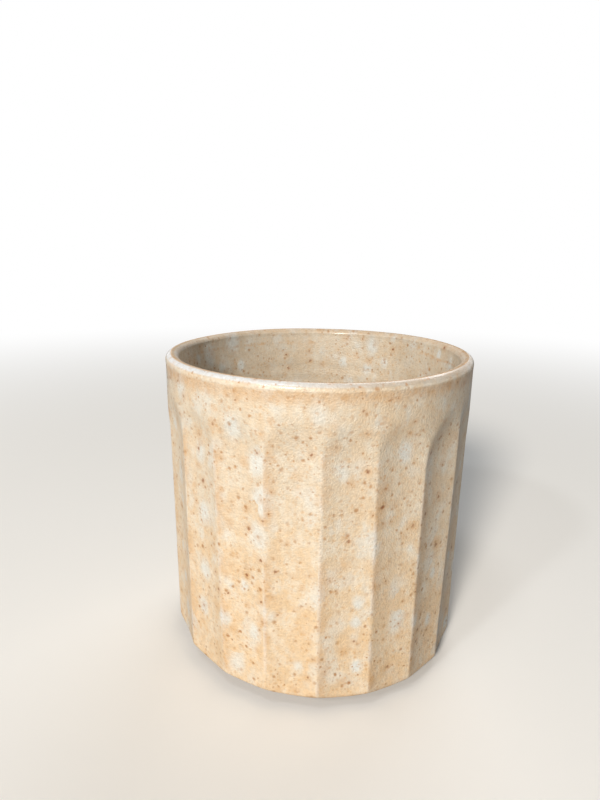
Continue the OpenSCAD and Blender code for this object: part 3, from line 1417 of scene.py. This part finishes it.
@dataclass
class OuterCoat:
    """The glaze on the outside, from the crest of the lip down to its edge above the foot.

    roll is the round of the lower edge, as pairs of the depth below the finished surface and the
    height above the edge, and hem the height up to which the wall follows the uneven edge.
    flute_rows are the pitch and the number of the rows up the flutes, start_rows the first height,
    the pitch and the number of those where the flutes start, and band_rows the heights above.
    """

    sizes: CupSizes
    turning: FlutedTurning
    columns: int = 24
    ring_pitch: float = 4.6
    hem: float = 2.4
    flute_rows: tuple[float, int] = (1.9, 29)
    start_rows: tuple[float, float, int] = (60.2, 0.4, 38)
    band_rows: tuple[float, ...] = (75.9, 76.9, 77.9, 78.8)
    lip_steps: int = 14
    hidden_lip_steps: int = 6
    roll: tuple[tuple[float, float], ...] = (
        (0.4, 0.0), (0.3, -0.05), (0.17, -0.06), (0.05, 0.0), (-0.04, 0.12),
        (-0.08, 0.3), (-0.09, 0.55), (-0.07, 0.9), (-0.04, 1.3), (-0.01, 1.8),
    )

    def section(self) -> HalfSection:
        """The coat's half section: up the finished side, over the crest and down the clay's side.

        Returns:
            The section.
        """
        s, half = self.sizes, HalfSection(self.sizes)
        for depth, rise in self.roll:
            z = s.glaze_line + rise
            follows = 1.0 - max(rise, 0.0) / self.hem
            half.add(s.side(z, depth), z, skin=depth, fluted=1.0, hem=follows)
        flutes = rows_from(s.glaze_line + self.hem, *self.flute_rows)
        starts = rows_from(*self.start_rows)
        half.outside([*flutes, *starts, *self.band_rows], 0.0, self.lip_steps)
        hidden = HalfSection(s)
        hidden.outside(s.clay_heights(), s.coat, self.hidden_lip_steps)
        half.rows.extend(reversed(hidden.rows))
        half.close()
        return half

    def build(self, finish: bpy.types.Material) -> bpy.types.Object:
        """Builds the coat.

        Args:
            finish: The glaze.

        Returns:
            The piece.
        """
        section, turn = self.section(), self.turning.turn
        piece = turn("glaze_outside", section, self.columns, self.ring_pitch, finish)
        return settle(piece, "outer_glaze")


@dataclass
class LinerCoat:
    """The glaze poured inside, over the throwing rings, from the crest of the lip to the floor."""

    sizes: CupSizes
    turning: FlutedTurning
    columns: int = 16
    ring_height: float = 0.06
    ring_pitch: float = 4.6
    lip_steps: int = 12
    row_pitch: float = 0.95
    hidden_lip_steps: int = 6
    hidden_row_pitch: float = 4.0

    def section(self) -> HalfSection:
        """The coat's half section: up the clay's side, over the crest and down to the floor.

        Returns:
            The section.
        """
        half, shown = HalfSection(self.sizes), HalfSection(self.sizes)
        half.inside(self.sizes.coat, self.hidden_lip_steps, self.hidden_row_pitch, 0.0)
        half.rows.reverse()
        shown.inside(0.0, self.lip_steps, self.row_pitch, self.ring_height)
        half.rows.extend(shown.rows)
        return half

    def build(self, finish: bpy.types.Material) -> bpy.types.Object:
        """Builds the coat.

        Args:
            finish: The glaze.

        Returns:
            The piece.
        """
        section, turn = self.section(), self.turning.turn
        piece = turn("glaze_inside", section, self.columns, self.ring_pitch, finish)
        return settle(piece, "liner_glaze")


@dataclass
class ClayBody:
    """The fired clay under both coats, with its bare bevel, underside and turned foot ring.

    foot_round is the round of the foot ring's edges, as pairs of the distance back from its side
    and the height. under_edge is the outer part of the underside, as pairs of the distance back
    from the wall and the rise, and under_level how far back from the wall the crooked cut ends.
    bevel_rows are the heights of the rows up the bevel.
    """

    sizes: CupSizes
    turning: FlutedTurning
    columns: int = 24
    ring_height: float = 0.05
    ring_pitch: float = 2.3
    recess_rows: int = 28
    recess_edge: float = 0.7
    lip_steps: int = 6
    row_pitch: float = 4.0
    foot_round: tuple[tuple[float, float], ...] = (
        (0.03, 0.32), (0.16, 0.13), (0.36, 0.03), (0.6, 0.0),
    )
    under_edge: tuple[tuple[float, float], ...] = (
        (3.6, 0.0), (2.7, 0.0), (1.8, 0.0), (0.8, 0.0), (0.3, 0.01), (0.08, 0.05),
    )
    under_level: float = 3.9
    bevel_rows: tuple[float, ...] = (3.15, 3.3, 3.45, 3.6, 3.9, 4.3, 4.8)

    def foot(self, half: HalfSection) -> None:
        """Adds the recess, the foot ring, the underside and the bevel, from the axis outwards.

        Args:
            half: The section that gets them.
        """
        s = self.sizes
        draft = math.tan(math.radians(s.foot_draft))
        inner, outer = s.foot_r - s.foot_width, s.foot_r - s.underside * draft
        flat = inner - self.recess_edge
        for i in range(self.recess_rows):
            r = flat * i / (self.recess_rows - 1)
            half.add(r, s.recess, ripple=self.ring_height * min(r / 3.0, 1.0, (flat - r) / 2.0))
        low = inner + s.recess * draft
        points = [
            (inner - 0.3, s.recess - 0.06),
            (inner - 0.05, s.recess - 0.25),
            (inner + 0.05, s.recess - 0.6),
            (inner + (s.recess - 1.4) * draft, 1.4),
            (inner + (s.recess - 0.6) * draft, 0.6),
        ]
        points += [(low + back, z) for back, z in self.foot_round]
        points += [(outer - 1.2, 0.0)]
        points += [(outer - back, z) for back, z in reversed(self.foot_round)]
        points += [(outer + z * draft, z) for z in (0.6, 1.4, 2.2)]
        points += [
            (outer + 2.6 * draft + 0.04, 2.6),
            (outer + 3.0 * draft + 0.14, 2.86),
            (outer + 3.0 * draft + 0.5, 2.98),
            (outer + 3.0 * draft + 1.1, 3.0),
        ]
        for r, z in points:
            half.add(r, z, skin=s.coat)
        edge = s.side(s.underside, s.coat)
        for back, rise in self.under_edge:
            tilt = 1.0 - (back / self.under_level) ** 2
            half.add(edge - back, s.underside + rise, skin=s.coat, tilt=tilt)
        for z in self.bevel_rows:
            half.add(s.side(z, s.coat), z, skin=s.coat, fluted=1.0)

    def section(self) -> HalfSection:
        """The clay's half section, from the middle of the recess to the middle of the floor.

        Returns:
            The section.
        """
        s, half = self.sizes, HalfSection(self.sizes)
        self.foot(half)
        half.outside(s.clay_heights(), s.coat, self.lip_steps)
        inner = HalfSection(s)
        inner.inside(s.coat, self.lip_steps, self.row_pitch, 0.0)
        half.rows.extend(inner.rows[1:])
        return half

    def build(self, finish: bpy.types.Material) -> bpy.types.Object:
        """Builds the clay.

        Args:
            finish: The bare clay.

        Returns:
            The piece.
        """
        section, turn = self.section(), self.turning.turn
        piece = turn("stoneware_clay", section, self.columns, self.ring_pitch, finish)
        return settle(piece, "stoneware_body")


# ---------------------------------------------------------------------------------------------
# Stage
# ---------------------------------------------------------------------------------------------


@dataclass(frozen=True)
class PhotoCamera:
    """The camera where the photograph was taken from, in millimetres, degrees and pixels.

    clip holds the nearest and the farthest distance that it sees, in metres.
    """

    distance: float = 150.16
    height: float = 108.5
    azimuth: float = -1.72
    yaw: float = -0.16
    pitch: float = 15.33
    roll: float = 0.65
    focal_pixels: float = 555.0
    long_side: int = 800
    sensor: float = 36.0
    clip: tuple[float, float] = (0.005, 20.0)

    def build(self) -> bpy.types.Object:
        """Makes the camera and gives it to the scene.

        Returns:
            The camera.
        """
        angles = (self.azimuth, self.yaw, self.pitch, self.roll)
        around, yaw, pitch, roll = (math.radians(angle) for angle in angles)
        level = Vector((math.sin(yaw), math.cos(yaw), 0.0)) * math.cos(pitch)
        forward = level - Vector((0.0, 0.0, math.sin(pitch)))
        right = Vector((math.cos(yaw), -math.sin(yaw), 0.0))
        up = right.cross(forward)
        across = math.cos(roll) * right + math.sin(roll) * up
        rise = -math.sin(roll) * right + math.cos(roll) * up
        lens = bpy.data.cameras.new("camera")
        lens.sensor_width = self.sensor
        lens.lens = self.focal_pixels * self.sensor / self.long_side
        lens.clip_start, lens.clip_end = self.clip
        camera = bpy.data.objects.new("camera", lens)
        spot = Vector((math.sin(around), -math.cos(around), 0.0)) * self.distance
        spot.z = self.height
        turn = Matrix((across, rise, -forward)).transposed()
        camera.matrix_world = Matrix.Translation(spot * MM) @ turn.to_4x4()
        bpy.context.scene.collection.objects.link(camera)
        bpy.context.scene.camera = camera
        return camera


@dataclass(frozen=True)
class SoftBox:
    """A round lamp, in millimetres, degrees and watts, that looks at the middle of the cup."""

    name: str
    azimuth: float
    elevation: float
    distance: float
    width: float
    power: float
    colour: Colour
    aim: float = 42.0

    def build(self) -> bpy.types.Object:
        """Hangs the lamp.

        Returns:
            The lamp.
        """
        a, e = math.radians(self.azimuth), math.radians(self.elevation)
        way = Vector((math.sin(a) * math.cos(e), -math.cos(a) * math.cos(e), math.sin(e)))
        light = bpy.data.lights.new(self.name, "AREA")
        light.shape = "DISK"
        light.size = self.width * MM
        light.energy = self.power
        light.color = self.colour
        lamp = bpy.data.objects.new(self.name, light)
        lamp.location = (Vector((0.0, 0.0, self.aim)) + way * self.distance) * MM
        lamp.rotation_euler = way.to_track_quat("Z", "Y").to_euler()
        bpy.context.scene.collection.objects.link(lamp)
        return lamp


@dataclass(frozen=True)
class Studio:
    """A plain pale floor and plain soft light.

    The floor looks like floor_seen and sends back light like floor_lit, and between the two
    distances of fade it passes into the white of the backdrop.
    """

    floor_seen: Colour = (0.86, 0.855, 0.845)
    floor_lit: Colour = (0.36, 0.355, 0.35)
    floor_radius: float = 2600.0
    floor_sides: int = 96
    fade: tuple[float, float] = (150.0, 680.0)
    sky: float = 0.115
    sky_tint: Colour = (0.9, 0.965, 1.0)
    lamps: tuple[SoftBox, ...] = (
        SoftBox("window", -44.0, 38.0, 2000.0, 150.0, 4.0, (0.93, 0.975, 1.0)),
        SoftBox("key", -23.0, 27.0, 2000.0, 400.0, 43.5, (1.0, 0.93, 0.835)),
        SoftBox("top", -44.0, 68.0, 1500.0, 300.0, 2.0, (1.0, 0.995, 0.98)),
        SoftBox("behind", 158.0, 42.0, 2000.0, 1300.0, 12.0, (1.0, 0.99, 0.97)),
    )

    def floor(self) -> bpy.types.Object:
        """Lays the floor: a disc that keeps the shadow and fades into the backdrop far away.

        Returns:
            The floor.
        """
        bm = bmesh.new()
        radius = self.floor_radius * MM
        bmesh.ops.create_circle(bm, cap_ends=True, segments=self.floor_sides, radius=radius)
        mesh = bpy.data.meshes.new("floor")
        bm.to_mesh(mesh)
        bm.free()
        material, g, place = Finish.start("floor")
        far = g.length(place).between(*self.fade)
        seen = g.node("ShaderNodeLightPath", {}, {}, out="Is Camera Ray")
        colour = g.mix(seen, self.floor_lit, self.floor_seen)
        near = g.node("ShaderNodeBsdfDiffuse", {}, {"Color": colour})
        white = g.node("ShaderNodeEmission", {}, {"Color": WHITE, "Strength": 1.0})
        Finish.end(g, g.node("ShaderNodeMixShader", {}, {0: far * seen, 1: near, 2: white}))
        mesh.materials.append(material)
        floor = bpy.data.objects.new("floor", mesh)
        bpy.context.scene.collection.objects.link(floor)
        return floor

    def world(self) -> None:
        """Sets the even light from all round, and the white that the camera and mirrors see."""
        world = bpy.data.worlds.new("studio")
        world.use_nodes = True
        world.node_tree.nodes.clear()
        g = Graph(world.node_tree)
        camera = g.node("ShaderNodeLightPath", {}, {}, out="Is Camera Ray")
        glossy, clear = g.also(camera, "Is Glossy Ray"), g.also(camera, "Is Transmission Ray")
        shown = camera.do("MAXIMUM", glossy).do("MAXIMUM", clear)
        strength = self.sky + (1.0 - self.sky) * shown
        values = {"Color": g.mix(shown, self.sky_tint, WHITE), "Strength": strength}
        g.node("ShaderNodeOutputWorld", {}, {"Surface": g.node("ShaderNodeBackground", {}, values)})
        bpy.context.scene.world = world

    def build(self) -> None:
        """Sets the whole stage."""
        self.floor()
        self.world()
        for lamp in self.lamps:
            lamp.build()
        bpy.context.scene.view_settings.view_transform = "Standard"


def main() -> None:
    logging.basicConfig(level=logging.INFO, format="%(name)s: %(message)s")
    PhotoCamera().build()
    Studio().build()
    sizes = CupSizes()
    turning = FlutedTurning(sizes, FluteRow())
    ClayBody(sizes, turning).build(BareStoneware().material())
    LinerCoat(sizes, turning).build(SpeckledGlaze(Coat.INSIDE).material())
    OuterCoat(sizes, turning).build(SpeckledGlaze(Coat.OUTSIDE).material())
    turning.clear()


if __name__ == "__main__":
    main()
